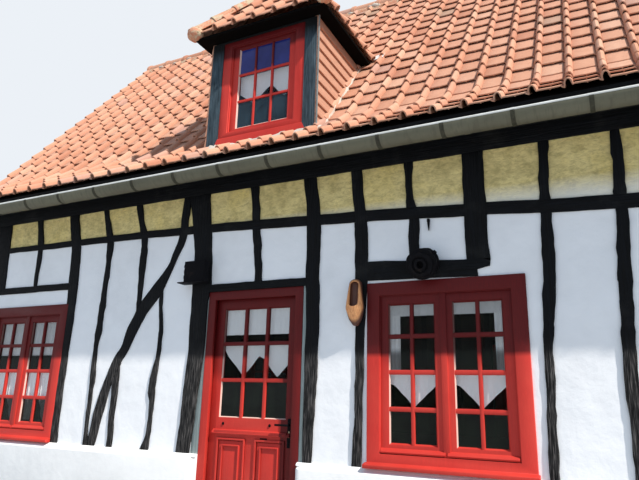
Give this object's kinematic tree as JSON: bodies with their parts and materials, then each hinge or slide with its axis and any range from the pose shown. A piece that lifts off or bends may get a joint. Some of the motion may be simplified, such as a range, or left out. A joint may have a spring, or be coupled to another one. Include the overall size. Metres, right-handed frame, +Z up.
{
  "type": "half timbered house",
  "caption": "Low half timbered house with white plastered panels, red joinery, a kicked clay tile roof and a hipped dormer; its front door swings inwards.",
  "frame": {"origin": "on the ground, in the middle of the house in plan", "axes": "+X along the front wall to the right as seen from outside, +Y into the house from the front wall, +Z up"},
  "size_m": [11.92, 6.108, 6.9091],
  "materials": {
    "plinth": "matt whitewash",
    "door_step": "matt",
    "floor": "matt",
    "floor_boards": "matt",
    "frame_timber": "matt black tar",
    "lower_infill": "matt whitewash",
    "upper_infill": "matt limewash",
    "red_joinery": "satin paint on wood",
    "pane_glass": "clear",
    "grey_boards": "satin paint",
    "rafter_wood": "matt",
    "roof_tile": "matt fired clay",
    "edge_board": "satin paint",
    "zinc": "dull weathered zinc",
    "dormer_timber": "satin paint",
    "cheek_board": "matt paint",
    "black_iron": "matt",
    "clog_wood": "matt",
    "lace": "thin woven lace",
    "handle_metal": "worn"
  },
  "bodies": {
    "house": {"plinth_front_left": "plinth", "plinth_front_right": "plinth", "plinth_rear": "plinth", "plinth_gables": "plinth", "door_step": "door_step", "ground_floor": "floor", "attic_floor": "floor_boards", "front_posts": "frame_timber", "front_studs": "frame_timber", "front_braces": "frame_timber", "front_rails": "frame_timber", "front_lintels": "frame_timber", "front_infill_left": "lower_infill", "front_infill_over_door": "lower_infill", "front_infill_right": "lower_infill", "front_infill_upper": "upper_infill", "rear_frame": "frame_timber", "rear_infill": "lower_infill", "gable_frames": "frame_timber", "gable_infill": "lower_infill", "wall_plates": "frame_timber", "window_frames": "red_joinery", "casements": "red_joinery", "window_panes": "pane_glass", "door_frame": "red_joinery", "door_strips": "grey_boards", "door_hinge_pins": "red_joinery", "rafters_front": "rafter_wood", "rafters_rear": "rafter_wood", "roof_front": "roof_tile", "roof_rear": "roof_tile", "ridge_cap": "roof_tile", "verge_boards": "edge_board", "eaves_boards": "edge_board", "gutters": "zinc", "gutter_brackets": "zinc", "dormer_posts": "dormer_timber", "dormer_cheeks": "cheek_board", "dormer_window": "red_joinery", "dormer_pane": "pane_glass", "dormer_eaves": "edge_board", "dormer_roof": "roof_tile", "cart_hub": "black_iron", "clog": "clog_wood", "post_box": "black_iron", "iron_peg": "black_iron", "window_curtains": "lace", "dormer_curtain": "lace"},
    "door": {"door_leaf": "red_joinery", "door_pane": "pane_glass", "door_handle": "handle_metal", "door_curtain": "lace"}
  },
  "joints": [
    {"name": "door_hinge", "type": "hinge", "parent": "house", "child": "door", "pos_m": [-2.3075, -2.477, 1], "axis": [0, 0, 1], "range_deg": [0, 90]}
  ]
}
